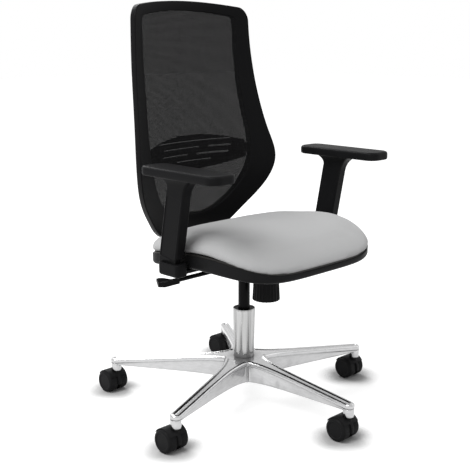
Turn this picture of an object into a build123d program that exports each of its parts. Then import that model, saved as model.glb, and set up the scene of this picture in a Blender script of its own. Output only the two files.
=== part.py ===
from build123d import *
from math import cos, exp, pi, radians, sin, sqrt, tan
import os

os.makedirs("parts", exist_ok=True)

# Office chair with a mesh back, in millimetres.
# The origin is on the floor under the middle of the gas column. +Z is up, the
# sitter faces -Y, and the sitter's right hand is on the -X side.

# Clearances
running_fit = 0.05  # radial, shaft in a hole that it turns or slides in
press_gap = 0.02  # radial, pieces pushed together for good
slide_gap = 0.3  # between plastic pieces that slide on each other
seat_gap = 0.3  # between a soft piece and what carries it

# Castors
wheel_radius = 27.0
wheel_width = 23.0
wheel_gap = 10.0  # free space between the two wheels of a castor
wheel_rim = 3.5
wheel_face = 4.0
wheel_edge = 6.0  # rounding of the outer rim
wheel_dish = 1.2
wheel_dish_radius = 18.0
wheel_hub_radius = 7.0
axle_radius = 3.0
castor_trail = 15.5  # from the stem's axis back to the axle
hood_web = 9.0
hood_skin = 1.6
hood_clearance = 0.7
hood_width = 48.0
hood_reach = 58.0  # degrees each side of the top that the hood covers
stem_radius = 5.5
stem_foot_radius = 4.0
stem_foot_length = 18.0
stem_boss_radius = 7.0
stem_collar = 1.0
axle_height = wheel_radius
hood_top = axle_height + wheel_radius + hood_clearance + hood_skin

# Five-legged base
leg_count = 5
first_leg_angle = 270.0
stem_circle_radius = 325.0
boss_radius = 12.4
boss_bottom = hood_top + stem_collar
boss_overlap = 4.0  # how far a boss runs up into its leg
leg_tip_top = 89.0
leg_tip_depth = 16.0
stem_bore_depth = 16.0
hub_top = 115.0
hub_bottom = 64.0
rail_width = 12.5
rail_rise = 2.0
leg_cap = 13.0  # depth of the rounded rails over the flat side panel
panel_inset = 3.0
groove_width = 3.0
groove_spread = 34.0  # how much wider the groove is at the hub
groove_run = 35.0  # how fast it narrows along the leg
spread_start = 42.0
leg_angles = [first_leg_angle + 360.0 * leg / leg_count for leg in range(leg_count)]
leg_shares = (0.0, 0.085, 0.18, 0.31, 0.52, 0.76, 1.0)
leg_root = 1.0  # how far the legs run into the hub

# Gas column
tube_top = 237.0
tube_top_radius = 27.0
tube_hub_radius = 24.6
tube_bottom = 66.0
tube_wall = 1.8
tube_floor = 3.0
bush_length = 85.0
bush_recess = 1.5
cylinder_radius = 14.0
cylinder_wall = 2.0
cylinder_bottom = 126.0
cylinder_top = 351.0
cylinder_cap = 10.0
rod_radius = 5.0
piston_height = 10.0
piston_bottom = 210.0
bearing_radius = 13.0
bearing_height = 8.0
clip_radius = 9.0
clip_thickness = 1.5
valve_radius = 4.0
valve_length = 16.0
valve_stand = 4.0
height_down = 45.0
height_up = 65.0

# Tilt mechanism
housing_half = 55.0
housing_wall = 3.0
housing_floor = 330.0
housing_front = -108.0
housing_rear = 95.0
housing_front_top = 374.0
housing_rear_top = 357.0
socket_radius = 22.0
socket_height = 21.0
pin_radius = 5.0
front_pin_y = -94.0
front_pin_z = 360.0
rear_pin_y = 70.0
rear_pin_z = 346.0
pin_head = 3.0
pin_head_radius = 8.0

knob_y = -73.0
knob_bottom = 273.0
knob_top_radius = 28.0
knob_bottom_radius = 31.0
knob_ribs = 24
knob_rib_radius = 1.6
tension_screw_radius = 5.0
spring_radius = 12.0
spring_wire = 3.6
spring_turns = 3
tension_plate_z = 356.0
tension_plate_height = 6.0

lever_y = 6.0
lever_z = 344.0
lever_radius = 5.0
lever_pivot_x = -46.0
lever_pivot_z = 346.0
lever_pin_radius = 2.5
lever_finger_z = 356.4
lever_finger_thickness = 4.5
lever_end_x = -236.0
paddle_thickness = 7.0
tilt_lever_y = 34.0
tilt_lever_z = 344.0
tilt_lever_end = 228.0

# Seat
seat_half_width = 233.0
seat_widest_y = -10.0
seat_rear_y = 121.0
seat_front_y = -257.0
seat_corner_power = 4.3
profile_margin = 12.0  # how far the side profiles run past the plan
seam_profile = (
    (seat_rear_y + profile_margin, 391.0),
    (-5.0, 413.0),
    (-130.0, 420.0),
    (seat_front_y - profile_margin, 380.0),
)
crown_profile = (
    (seat_rear_y + profile_margin, 431.0),
    (-5.0, 446.0),
    (-130.0, 451.0),
    (seat_front_y - profile_margin, 410.0),
)
cushion_edge = 15.0
pan_thickness = 10.0
shell_inset = 4.0
shell_wall = 3.0
pan_inset = shell_inset + shell_wall + seat_gap
shell_drop = 4.0  # recess between the cushion and the shell's rim
shell_band = (24.0, 28.0, 31.0, 12.0)  # depth of the shell below the seam, rear to front
shell_opening_half = 122.0
shell_opening_front = -122.0
shell_opening_rear = 104.0
shell_edge = 8.0

carrier_half = 72.0
carrier_bottom = 382.0
carrier_thickness = 6.0
carrier_front = -108.0
carrier_rear = 82.0
cheek_inner = 58.0
cheek_thickness = 4.0
seat_screw_x = 45.0
seat_screw_front_y = -86.0
seat_screw_rear_y = 60.0
pan_boss_radius = 15.0

screw_radius = 3.0
screw_head_radius = 5.5
screw_head = 4.0
screw_bite = 12.0

# Arms
arm_x = 257.0
arm_root_y = -29.0
arm_root_z = 383.0
arm_lean = 10.4
bar_bottom = 373.0
bar_thickness = 7.0
bar_width = 40.0
bar_inner_x = 78.0
rib_width = 40.0
rib_margin = 6.0
arm_screw_spread = 24.0
post_thickness = 15.4
post_depth = 44.4
post_length = 186.0
post_slot = 12.0
post_slot_depth = 9.0
sleeve_wall = 5.0
sleeve_start = 6.0  # along the lean, from the arm's root
sleeve_foot_z = 404.0  # height of the sleeve's lower edge at the rear
sleeve_foot_rise = 8.8  # degrees that this edge rises towards the front
sleeve_corner = 4.0
flare_start = 176.0
flare_waist = 14.0  # below the pad, where the flare is still narrow
flare_waist_share = 0.22
flare_thickness = 42.0
flare_depth = 110.0
panel_recess = 1.0
panel_margin = 10.0
pad_bottom = 589.0
pad_thickness = 20.0
pad_width = 73.0
pad_front_y = -206.0
pad_rear_y = 31.0
pad_corner = 24.0
pad_edge = 5.0
foot_height = 29.0
foot_depth = 66.0
foot_thickness = 32.0
foot_forward = 9.0
foot_rounding = 9.0
button_width = 10.0
button_height = 16.0
button_length = 9.0
button_stand = 1.5
button_at = 150.0
arm_travel = 80.0

# Back
back_plan_radius = 420.0
back_profile = (
    (375.0, 195.0), (440.0, 184.0), (500.0, 174.0), (580.0, 168.0), (640.0, 177.0),
    (700.0, 187.0), (780.0, 198.0), (860.0, 204.5), (980.0, 206.0),
)
frame_thickness = 20.0
frame_outline = (
    (92.0, 393.0), (149.0, 440.0), (198.0, 500.0), (223.0, 575.0), (213.0, 640.0),
    (202.0, 700.0), (190.0, 800.0), (182.0, 915.0),
)
frame_top_corner = (158.0, 948.0)
frame_top = 960.0
frame_rise = 0.35
mesh_outline = (
    (24.0, 441.0), (62.0, 447.5), (110.0, 479.0), (151.0, 540.0), (164.0, 590.0),
    (158.5, 700.0), (152.0, 840.0), (150.0, 912.0),
)
mesh_top_corner = (138.0, 925.0)
mesh_top = 937.0
mesh_rise = 0.02
side_tangent = 0.04  # lean of both outlines inwards at the end of their sides
corner_tangent = 0.14  # their slope where the corner meets the top
mesh_thickness = 1.6
mesh_setback = 2.0
mesh_tongue = 4.0
groove_clearance = 0.15
groove_depth_gap = 1.0
frame_boss_half = 55.0
frame_boss_bottom = 396.0
frame_boss_top = 436.0
frame_boss_rear = 214.0
frame_boss_depth = 14.0

bracket_width = 70.0
bracket_thickness = 10.0
bracket_arm_z = 338.0
bracket_bend = 40.0
bracket_top = 438.0
knuckle_radius = 11.0
back_screw_x = 26.0
back_screw_low = 406.0
back_screw_high = 426.0

lumbar_gap = 5.0
lumbar_thickness = 3.0
lumbar_half = 155.0
lumbar_top = 640.0
lumbar_top_drop = 22.0
lumbar_bottom = 556.0
lumbar_bottom_rise = 21.0
lumbar_tab_front = 151.0
lumbar_tab_thickness = 3.2
lumbar_tab_reach = 167.0
lumbar_tab_inner = 152.0
lumbar_tab_low = 586.0
lumbar_tab_high = 610.0
lumbar_down = 20.0
lumbar_up = 15.0
slot_height = 4.0
lumbar_slots = ((15.0, 118.0, 0.0), (31.0, 62.0, -40.0), (31.0, 34.0, 84.0), (47.0, 46.0, -62.0),
                (47.0, 50.0, 60.0), (62.0, 58.0, 0.0))


def save(piece, name):
    piece.part.label = name
    export_step(piece.part, f"parts/{name}.step")


def screw(at, direction, length):
    """A cap screw whose head seats at a point, with its shank along a direction."""
    with BuildPart() as piece:
        with BuildSketch(Plane(origin=at, z_dir=direction)):
            Circle(screw_radius)
        extrude(amount=length)
        with BuildSketch(Plane(origin=at, z_dir=direction)):
            Circle(screw_head_radius)
        extrude(amount=-screw_head)
        with BuildSketch(Plane(origin=at, z_dir=direction).offset(-screw_head)):
            RegularPolygon(radius=screw_radius, side_count=6)
        extrude(amount=screw_head / 2, mode=Mode.SUBTRACT)
    return piece.part


# ---- base ----


def leg_width(distance):
    return groove_at(distance) + 2 * rail_width * (1.0 - 0.08 * distance / stem_circle_radius)


def groove_at(distance):
    return groove_width + groove_spread * exp((spread_start - distance) / groove_run)


def leg_top(distance):
    share = (distance - spread_start) / (stem_circle_radius - spread_start)
    return hub_top + rail_rise + share * (leg_tip_top - hub_top - rail_rise)


def leg_bottom(distance):
    share = (distance - spread_start) / (stem_circle_radius - spread_start)
    return hub_bottom + share * (leg_tip_top - leg_tip_depth - hub_bottom)


def leg_section(distance):
    """A leg cut across: a flat side panel under a rounded rail, and the groove between the rails."""
    half = leg_width(distance) / 2
    rounding = (half - groove_at(distance) / 2) / 2
    rail = half - rounding
    rail_foot = rail - sqrt(2 * rounding * rail_rise - rail_rise**2)
    panel = half - panel_inset
    top = leg_top(distance)
    bottom = leg_bottom(distance)
    with BuildSketch(Plane(origin=(distance, 0, 0), x_dir=(0, 1, 0), z_dir=(1, 0, 0))) as section:
        with BuildLine():
            Line((0, bottom), (panel, bottom))
            Line((panel, bottom), (panel, top - leg_cap))
            Line((panel, top - leg_cap), (half, top - leg_cap + panel_inset))
            Line((half, top - leg_cap + panel_inset), (half, top - rounding))
            ThreePointArc((half, top - rounding), (rail, top), (rail_foot, top - rail_rise))
            Line((rail_foot, top - rail_rise), (0, top - rail_rise))
            mirror(about=Plane.YZ)
        make_face()
    return section.sketch


half_tip = split(leg_section(stem_circle_radius), bisect_by=Plane.XZ, keep=Keep.TOP)
rounded_tip = revolve(half_tip, axis=Axis((stem_circle_radius, 0, 0), (0, 0, 1)), revolution_arc=180)

with BuildPart() as leg:
    for share in leg_shares:
        add(leg_section(spread_start + share * (stem_circle_radius - spread_start)))
    loft()
    add(rounded_tip)
    with BuildSketch(Plane.XY.offset(boss_bottom)):
        with Locations((stem_circle_radius, 0)):
            Circle(boss_radius)
    extrude(amount=leg_tip_top - leg_tip_depth + boss_overlap - boss_bottom)

with BuildPart() as base_star:
    with BuildSketch(Plane.XY.offset(hub_bottom)):
        corner_angle = first_leg_angle + 180.0 / leg_count
        RegularPolygon(spread_start + leg_root, leg_count, major_radius=False, rotation=corner_angle)
    extrude(amount=hub_top - hub_bottom)
    for angle in leg_angles:
        add(leg.part.rotate(Axis.Z, angle))
    with BuildSketch(Plane.XY.offset(boss_bottom)):
        with PolarLocations(stem_circle_radius, leg_count, start_angle=first_leg_angle):
            Circle(stem_radius + press_gap)
    extrude(amount=stem_bore_depth, mode=Mode.SUBTRACT)
    with BuildSketch(Plane.XZ):
        with BuildLine():
            taper = (tube_top_radius - tube_hub_radius) / (tube_top - hub_top)
            low = hub_bottom - 1.0
            high = hub_top + rail_rise + 1.0
            Polyline(
                (0, low),
                (tube_hub_radius + press_gap + taper * (low - hub_top), low),
                (tube_hub_radius + press_gap + taper * (high - hub_top), high),
                (0, high),
                close=True,
            )
        make_face()
    revolve(axis=Axis.Z, mode=Mode.SUBTRACT)
save(base_star, "base_star")

with BuildPart() as castor_stems:
    stem_top = boss_bottom + stem_bore_depth - running_fit
    for angle in leg_angles:
        at = Vector(stem_circle_radius, 0, 0).rotate(Axis.Z, angle)
        with BuildSketch(Plane.XY.offset(boss_bottom)):
            with Locations((at.X, at.Y)):
                Circle(stem_radius)
        extrude(amount=stem_top - boss_bottom)
        with BuildSketch(Plane.XY.offset(boss_bottom)):
            with Locations((at.X, at.Y)):
                Circle(stem_boss_radius)
        extrude(amount=slide_gap - stem_collar)
        with BuildSketch(Plane.XY.offset(boss_bottom)):
            with Locations((at.X, at.Y)):
                Circle(stem_foot_radius)
        extrude(amount=-stem_collar - stem_foot_length)
save(castor_stems, "castor_stems")

# ---- castors ----


def castor(number, angle):
    """Hood, axle and two wheels of the castor on one leg, trailing towards +Y."""
    stem = Vector(stem_circle_radius, 0, 0).rotate(Axis.Z, angle)
    centre = Vector(stem.X, stem.Y + castor_trail, axle_height)
    side = Plane(origin=centre, x_dir=(0, 1, 0), z_dir=(1, 0, 0))
    web_half = hood_web / 2
    inner = wheel_gap / 2
    outer = inner + wheel_width
    hood_inner = wheel_radius + hood_clearance
    hood_outer = hood_inner + hood_skin

    with BuildPart() as hood:
        with BuildSketch(side):
            Circle(hood_outer)
            with Locations((-castor_trail, -hood_outer)):
                Rectangle(2 * stem_boss_radius, hood_outer, align=(Align.CENTER, Align.MIN), mode=Mode.SUBTRACT)
            with Locations((0, -hood_outer)):
                Rectangle(3 * hood_outer, hood_outer - wheel_hub_radius, mode=Mode.SUBTRACT,
                          align=(Align.CENTER, Align.MIN))
        extrude(amount=web_half, both=True)
        with BuildSketch(side):
            Circle(hood_outer)
            Circle(hood_inner, mode=Mode.SUBTRACT)
            reach = 2 * hood_outer
            with BuildLine():
                Polyline(
                    (0, 0),
                    (reach * sin(radians(hood_reach)), reach * cos(radians(hood_reach))),
                    (0, reach),
                    (-reach * sin(radians(hood_reach)), reach * cos(radians(hood_reach))),
                    close=True,
                )
            make_face(mode=Mode.INTERSECT)
        extrude(amount=hood_width / 2, both=True)
        with BuildSketch(Plane.XY.offset(hood_top)):
            with Locations((stem.X, stem.Y)):
                Circle(stem_boss_radius)
        extrude(amount=-stem_foot_length)
        with BuildSketch(Plane.XY.offset(hood_top + stem_collar)):
            with Locations((stem.X, stem.Y)):
                Circle(stem_foot_radius + running_fit)
        extrude(amount=-2 * stem_collar - stem_foot_length - slide_gap, mode=Mode.SUBTRACT)
        for end in (-1, 1):
            with BuildSketch(side.offset(end * web_half)):
                Circle(hood_inner)
            extrude(amount=end * hood_width, mode=Mode.SUBTRACT)
        with BuildSketch(side):
            Circle(axle_radius + press_gap)
        extrude(amount=hood_width, both=True, mode=Mode.SUBTRACT)
    save(hood, f"castor_{number}_hood")

    with BuildPart() as axle:
        with BuildSketch(side):
            Circle(axle_radius)
        extrude(amount=outer - wheel_face - 1.0, both=True)
    save(axle, f"castor_{number}_axle")

    with BuildPart() as wheel:
        with BuildSketch(Plane.XY):
            bore = axle_radius + running_fit
            hollow = outer - wheel_face - 2.0
            tread = wheel_radius - wheel_rim
            with BuildLine():
                Polyline(
                    (inner, wheel_radius),
                    (inner, tread),
                    (hollow, tread),
                    (hollow, wheel_hub_radius),
                    (inner, wheel_hub_radius),
                    (inner, bore),
                    (outer - wheel_face, bore),
                    (outer - wheel_face, 0),
                    (outer - wheel_dish, 0),
                    (outer - wheel_dish, wheel_dish_radius),
                    (outer, wheel_dish_radius + wheel_dish),
                    (outer, wheel_radius - wheel_edge),
                )
                TangentArc((outer, wheel_radius - wheel_edge), (outer - wheel_edge, wheel_radius), tangent=(0, 1))
                Line((outer - wheel_edge, wheel_radius), (inner, wheel_radius))
            make_face()
        revolve(axis=Axis.X)
    for name, flip in (("left", 1), ("right", -1)):
        turned = wheel.part if flip > 0 else wheel.part.mirror(Plane.YZ)
        with BuildPart() as placed:
            add(turned.moved(Location(centre)))
        save(placed, f"castor_{number}_wheel_{name}")


for index, angle in enumerate(leg_angles):
    castor(index + 1, angle)

# ---- gas column ----

with BuildPart() as column_tube:
    def tube_radius(height):
        return tube_hub_radius + (tube_top_radius - tube_hub_radius) * (height - hub_top) / (tube_top - hub_top)

    with BuildSketch(Plane.XZ):
        with BuildLine():
            Polyline(
                (clip_radius, tube_bottom),
                (tube_radius(tube_bottom), tube_bottom),
                (tube_radius(tube_top), tube_top),
                (tube_radius(tube_top) - tube_wall, tube_top),
                (tube_radius(tube_bottom + tube_floor) - tube_wall, tube_bottom + tube_floor),
                (clip_radius, tube_bottom + tube_floor),
                close=True,
            )
        make_face()
    revolve(axis=Axis.Z)
save(column_tube, "column_tube")

with BuildPart() as column_bush:
    bush_top = tube_top - bush_recess
    with BuildSketch(Plane.XZ):
        with BuildLine():
            Polyline(
                (cylinder_radius + running_fit, bush_top),
                (tube_radius(bush_top) - tube_wall - press_gap, bush_top),
                (tube_radius(bush_top - bush_length) - tube_wall - press_gap, bush_top - bush_length),
                (cylinder_radius + running_fit, bush_top - bush_length),
                close=True,
            )
        make_face()
    revolve(axis=Axis.Z)
save(column_bush, "column_bush")

with BuildPart() as thrust_bearing:
    with BuildSketch(Plane.XY.offset(tube_bottom + tube_floor)):
        Circle(bearing_radius)
        Circle(rod_radius + running_fit, mode=Mode.SUBTRACT)
    extrude(amount=bearing_height)
save(thrust_bearing, "thrust_bearing")

rod_foot = tube_bottom - clip_thickness
with BuildPart() as piston_rod:
    with BuildSketch(Plane.XY.offset(rod_foot - clip_thickness)):
        Circle(rod_radius)
    extrude(amount=piston_bottom - rod_foot + clip_thickness)
    with BuildSketch(Plane.XY.offset(piston_bottom)):
        Circle(cylinder_radius - cylinder_wall - running_fit)
    extrude(amount=piston_height)
    with BuildSketch(Plane.XY.offset(tube_bottom + tube_floor + bearing_height + running_fit)):
        Circle(bearing_radius)
    extrude(amount=clip_thickness)
save(piston_rod, "piston_rod")

with BuildPart() as column_clip:
    with BuildSketch(Plane.XY.offset(rod_foot - clip_thickness)):
        Circle(clip_radius + 2 * tube_wall)
        Circle(rod_radius + running_fit, mode=Mode.SUBTRACT)
    extrude(amount=2 * clip_thickness)
save(column_clip, "column_clip")

with BuildPart() as gas_cylinder:
    with BuildSketch(Plane.XY.offset(cylinder_bottom)):
        Circle(cylinder_radius)
    extrude(amount=cylinder_top - cylinder_bottom)
    with BuildSketch(Plane.XY.offset(cylinder_bottom + cylinder_cap)):
        Circle(cylinder_radius - cylinder_wall)
    extrude(amount=cylinder_top - cylinder_bottom - 2 * cylinder_cap - valve_length, mode=Mode.SUBTRACT)
    with BuildSketch(Plane.XY.offset(cylinder_bottom)):
        Circle(rod_radius + running_fit)
    extrude(amount=cylinder_cap, mode=Mode.SUBTRACT)
    with BuildSketch(Plane.XY.offset(cylinder_top)):
        Circle(valve_radius + running_fit)
    extrude(amount=-valve_length - cylinder_cap / 2, mode=Mode.SUBTRACT)
    chamfer(gas_cylinder.edges().group_by(Axis.Z)[-1].sort_by(SortBy.LENGTH)[-1], 1.0)
save(gas_cylinder, "gas_cylinder")

with BuildPart() as gas_valve_button:
    with BuildSketch(Plane.XY.offset(cylinder_top - valve_length)):
        Circle(valve_radius)
    extrude(amount=valve_length + valve_stand)
    chamfer(gas_valve_button.edges().group_by(Axis.Z)[-1], 0.8)
save(gas_valve_button, "gas_valve_button")

# ---- tilt mechanism ----


def cross_pin(y, z, half_length):
    """A headed pin across the mechanism, along X."""
    with BuildPart() as pin:
        with BuildSketch(Plane(origin=(-half_length, y, z), z_dir=(1, 0, 0))):
            Circle(pin_radius)
        extrude(amount=2 * half_length)
        for end in (-1, 1):
            with BuildSketch(Plane(origin=(end * half_length, y, z), z_dir=(end, 0, 0))):
                Circle(pin_head_radius)
            extrude(amount=pin_head)
    return pin


with BuildPart() as mechanism_housing:
    with BuildSketch(Plane.YZ):
        with BuildLine():
            Polyline(
                (housing_front, housing_floor),
                (housing_rear, housing_floor),
                (housing_rear, housing_rear_top),
                (housing_front, housing_front_top),
                close=True,
            )
        make_face()
    extrude(amount=housing_half, both=True)
    with BuildSketch(Plane.XY.offset(housing_floor + housing_wall)):
        with Locations((0, housing_front + housing_wall)):
            Rectangle(
                2 * (housing_half - housing_wall),
                housing_rear - housing_front,
                align=(Align.CENTER, Align.MIN),
            )
    extrude(amount=housing_front_top - housing_floor, mode=Mode.SUBTRACT)
    with BuildSketch(Plane.XY.offset(housing_floor)):
        Circle(socket_radius)
    extrude(amount=socket_height)
    for y in (-lever_pin_radius - 5.5, lever_pin_radius + 4.5):
        with BuildSketch(Plane(origin=(0, lever_y + y, 0), x_dir=(1, 0, 0), z_dir=(0, -1, 0))):
            with Locations((lever_pivot_x, housing_floor)):
                Rectangle(4 * lever_pin_radius, lever_pivot_z + 2 * lever_pin_radius - housing_floor,
                          align=(Align.CENTER, Align.MIN))
        extrude(amount=-4.0 if y > 0 else 4.0)
    with BuildSketch(Plane.XY.offset(housing_floor)):
        Circle(cylinder_radius + press_gap)
        with Locations((0, knob_y)):
            Circle(tension_screw_radius + slide_gap)
    extrude(amount=housing_front_top - housing_floor, mode=Mode.SUBTRACT)
    for y, z in ((front_pin_y, front_pin_z), (rear_pin_y, rear_pin_z)):
        with BuildSketch(Plane(origin=(0, y, z), z_dir=(1, 0, 0))):
            Circle(pin_radius + running_fit)
        extrude(amount=housing_half, both=True, mode=Mode.SUBTRACT)
    with BuildSketch(Plane(origin=(-housing_half, lever_y, lever_z), z_dir=(1, 0, 0))):
        Circle(lever_radius + 5 * slide_gap)
    extrude(amount=housing_wall, mode=Mode.SUBTRACT)
    with BuildSketch(Plane.XY.offset(housing_floor)):
        with Locations((0, rear_pin_y - knuckle_radius - housing_wall)):
            Rectangle(bracket_width + housing_wall, housing_rear, align=(Align.CENTER, Align.MIN))
    extrude(amount=housing_wall, mode=Mode.SUBTRACT)
    with BuildSketch(Plane(origin=(lever_pivot_x, lever_y, lever_pivot_z), z_dir=(0, 1, 0))):
        Circle(lever_pin_radius + running_fit)
    extrude(amount=4 * socket_radius, both=True, mode=Mode.SUBTRACT)
    with BuildSketch(Plane(origin=(0, tilt_lever_y, tilt_lever_z), z_dir=(1, 0, 0))):
        Circle(lever_radius + running_fit)
    extrude(amount=housing_half, mode=Mode.SUBTRACT)
save(mechanism_housing, "mechanism_housing")

front_pin = cross_pin(front_pin_y, front_pin_z, cheek_inner + cheek_thickness + slide_gap)
save(front_pin, "front_pivot_pin")
rear_pin = cross_pin(rear_pin_y, rear_pin_z, housing_half + slide_gap)
save(rear_pin, "rear_pivot_pin")

with BuildPart() as tension_knob:
    knob_top = housing_floor - 2 * slide_gap
    with BuildSketch(Plane.XY.offset(knob_bottom)):
        with Locations((0, knob_y)):
            Circle(knob_bottom_radius)
            with PolarLocations(knob_bottom_radius, knob_ribs):
                Circle(knob_rib_radius)
    with BuildSketch(Plane.XY.offset(knob_top)):
        with Locations((0, knob_y)):
            Circle(knob_top_radius)
            with PolarLocations(knob_top_radius, knob_ribs):
                Circle(knob_rib_radius)
    loft()
    fillet(tension_knob.faces().sort_by(Axis.Z)[0].edges(), 1.0)
    with BuildSketch(Plane.XY.offset(knob_top)):
        with Locations((0, knob_y)):
            Circle(tension_screw_radius + press_gap)
    extrude(amount=-0.6 * (knob_top - knob_bottom), mode=Mode.SUBTRACT)
save(tension_knob, "tension_knob")

with BuildPart() as tension_screw:
    screw_foot = knob_top - 0.6 * (knob_top - knob_bottom)
    with BuildSketch(Plane.XY.offset(screw_foot)):
        with Locations((0, knob_y)):
            Circle(tension_screw_radius)
    extrude(amount=tension_plate_z + tension_plate_height + 2.0 - screw_foot)
save(tension_screw, "tension_screw")

with BuildPart() as tension_plate:
    with BuildSketch(Plane.XY.offset(tension_plate_z)):
        with Locations((0, knob_y)):
            Rectangle(2 * (housing_half - housing_wall - slide_gap), 2 * pin_radius + spring_radius / 2)
            Circle(tension_screw_radius + running_fit, mode=Mode.SUBTRACT)
    extrude(amount=tension_plate_height)
save(tension_plate, "tension_plate")

with BuildPart() as tension_spring:
    spring_floor = housing_floor + housing_wall
    spring_room = tension_plate_z - spring_floor - spring_wire - 2 * seat_gap
    pitch = spring_room / spring_turns
    with BuildLine() as coil:
        Helix(
            pitch=pitch,
            height=spring_room,
            radius=spring_radius - spring_wire / 2,
            center=(0, knob_y, spring_floor + spring_wire / 2 + seat_gap),
        )
    with BuildSketch(Plane(origin=coil.line @ 0, z_dir=coil.line % 0)):
        Circle(spring_wire / 2)
    sweep(path=coil.line, is_frenet=True)
save(tension_spring, "tension_spring")

with BuildPart() as height_lever:
    with BuildSketch(Plane(origin=(lever_end_x, lever_y, lever_z), z_dir=(1, 0, 0))):
        Circle(lever_radius)
    extrude(amount=lever_pivot_x - lever_end_x)
    with BuildSketch(Plane(origin=(lever_pivot_x, lever_y, lever_pivot_z), x_dir=(1, 0, 0), z_dir=(0, -1, 0))):
        Circle(lever_radius)
        with BuildLine():
            Polyline(
                (0, -lever_radius),
                (26.0, lever_finger_z - lever_pivot_z - 2.0),
                (-lever_pivot_x + 2 * valve_radius, lever_finger_z - lever_pivot_z),
                (-lever_pivot_x + 2 * valve_radius, lever_finger_z - lever_pivot_z + lever_finger_thickness),
                (20.0, lever_finger_z - lever_pivot_z + lever_finger_thickness),
                (-lever_radius, lever_radius),
                close=True,
            )
        make_face()
    extrude(amount=lever_radius + 1.5, both=True)
    with BuildSketch(Plane(origin=(lever_pivot_x, lever_y, lever_pivot_z), z_dir=(0, 1, 0))):
        Circle(lever_pin_radius + running_fit)
    extrude(amount=4 * lever_radius, both=True, mode=Mode.SUBTRACT)
    with BuildSketch(Plane(origin=(lever_end_x, lever_y, lever_z), x_dir=(1, 0, 0), z_dir=(0, 0, 1)).offset(-paddle_thickness)):
        with BuildLine():
            Polyline((30, -8), (-14, -9), (-24, 2), (-12, 24), (-4, 24), (16, 6), (30, 4), close=True)
        make_face()
    paddle = extrude(amount=2 * paddle_thickness, mode=Mode.PRIVATE)
    with BuildSketch(Plane(origin=(lever_end_x, lever_y, lever_z), x_dir=(0, 1, 0), z_dir=(1, 0, 0)).offset(-40)):
        with BuildLine():
            Polyline((-12, -6.5), (8, -6.5), (30, 4), (30, 10), (6, 4), (-12, 5), close=True)
        make_face()
    blade = extrude(amount=80, mode=Mode.PRIVATE)
    add(paddle & blade)
save(height_lever, "height_lever")

with BuildPart() as lever_pin:
    with BuildSketch(Plane(origin=(lever_pivot_x, lever_y, lever_pivot_z), z_dir=(0, 1, 0))):
        Circle(lever_pin_radius)
    extrude(amount=lever_pin_radius + 8.0, both=True)
save(lever_pin, "lever_pin")

with BuildPart() as tilt_lever:
    tilt_lever_start = housing_half - 4 * housing_wall
    with BuildSketch(Plane(origin=(tilt_lever_start, tilt_lever_y, tilt_lever_z), z_dir=(1, 0, 0))):
        Circle(lever_radius)
    extrude(amount=tilt_lever_end - tilt_lever_start)
    with BuildSketch(Plane(origin=(tilt_lever_start, tilt_lever_y, tilt_lever_z), z_dir=(1, 0, 0))):
        Circle(lever_radius)
        with Locations((0, lever_radius)):
            Rectangle(lever_radius, lever_radius)
    extrude(amount=2 * housing_wall)
    with BuildSketch(Plane.XY.offset(tilt_lever_z - paddle_thickness / 2)):
        with Locations((tilt_lever_end - 12, tilt_lever_y)):
            RectangleRounded(44, 24, 8)
    extrude(amount=paddle_thickness)
save(tilt_lever, "tilt_lever")

with BuildPart() as seat_carrier:
    with BuildSketch(Plane.XY.offset(carrier_bottom)):
        with Locations((0, carrier_front)):
            Rectangle(2 * carrier_half, carrier_rear - carrier_front, align=(Align.CENTER, Align.MIN))
        with Locations((0, (seat_screw_front_y + seat_screw_rear_y) / 2)):
            Rectangle(carrier_half, 0.55 * (seat_screw_rear_y - seat_screw_front_y), mode=Mode.SUBTRACT)
    extrude(amount=carrier_thickness)
    for side in (-1, 1):
        cheek = Plane(origin=(side * cheek_inner, front_pin_y, front_pin_z), x_dir=(0, 1, 0), z_dir=(1, 0, 0))
        with BuildSketch(cheek):
            Circle(2 * pin_radius + 1.0)
            Rectangle(4 * pin_radius + 2.0, carrier_bottom - front_pin_z, align=(Align.CENTER, Align.MIN))
        extrude(amount=side * cheek_thickness)
    with BuildSketch(Plane(origin=(0, front_pin_y, front_pin_z), z_dir=(1, 0, 0))):
        Circle(pin_radius + running_fit)
    extrude(amount=carrier_half, both=True, mode=Mode.SUBTRACT)
    with BuildSketch(Plane.XY.offset(carrier_bottom)):
        with Locations(*[(side * seat_screw_x, y) for side in (-1, 1) for y in (seat_screw_front_y, seat_screw_rear_y)]):
            Circle(screw_radius + slide_gap)
    extrude(amount=carrier_thickness, mode=Mode.SUBTRACT)
save(seat_carrier, "seat_carrier")

with BuildPart() as back_bracket:
    with BuildSketch(Plane.YZ):
        with BuildLine():
            FilletPolyline(
                (rear_pin_y, bracket_arm_z),
                (frame_boss_rear + bracket_thickness / 2, bracket_arm_z),
                (frame_boss_rear + bracket_thickness / 2, bracket_top),
                radius=bracket_bend,
            )
        trace(line_width=bracket_thickness)
    extrude(amount=bracket_width / 2, both=True)
    with BuildSketch(Plane(origin=(0, rear_pin_y, rear_pin_z), z_dir=(1, 0, 0))):
        Circle(knuckle_radius)
    extrude(amount=bracket_width / 2, both=True)
    with BuildSketch(Plane(origin=(0, rear_pin_y, rear_pin_z), z_dir=(1, 0, 0))):
        Circle(pin_radius + running_fit)
    extrude(amount=bracket_width / 2, both=True, mode=Mode.SUBTRACT)
    with BuildSketch(Plane(origin=(0, frame_boss_rear, 0), x_dir=(1, 0, 0), z_dir=(0, -1, 0))):
        with Locations(*[(side * back_screw_x, z) for side in (-1, 1) for z in (back_screw_low, back_screw_high)]):
            Circle(screw_radius + slide_gap)
    extrude(amount=-bracket_thickness, mode=Mode.SUBTRACT)
save(back_bracket, "back_bracket")

# ---- seat ----


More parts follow.
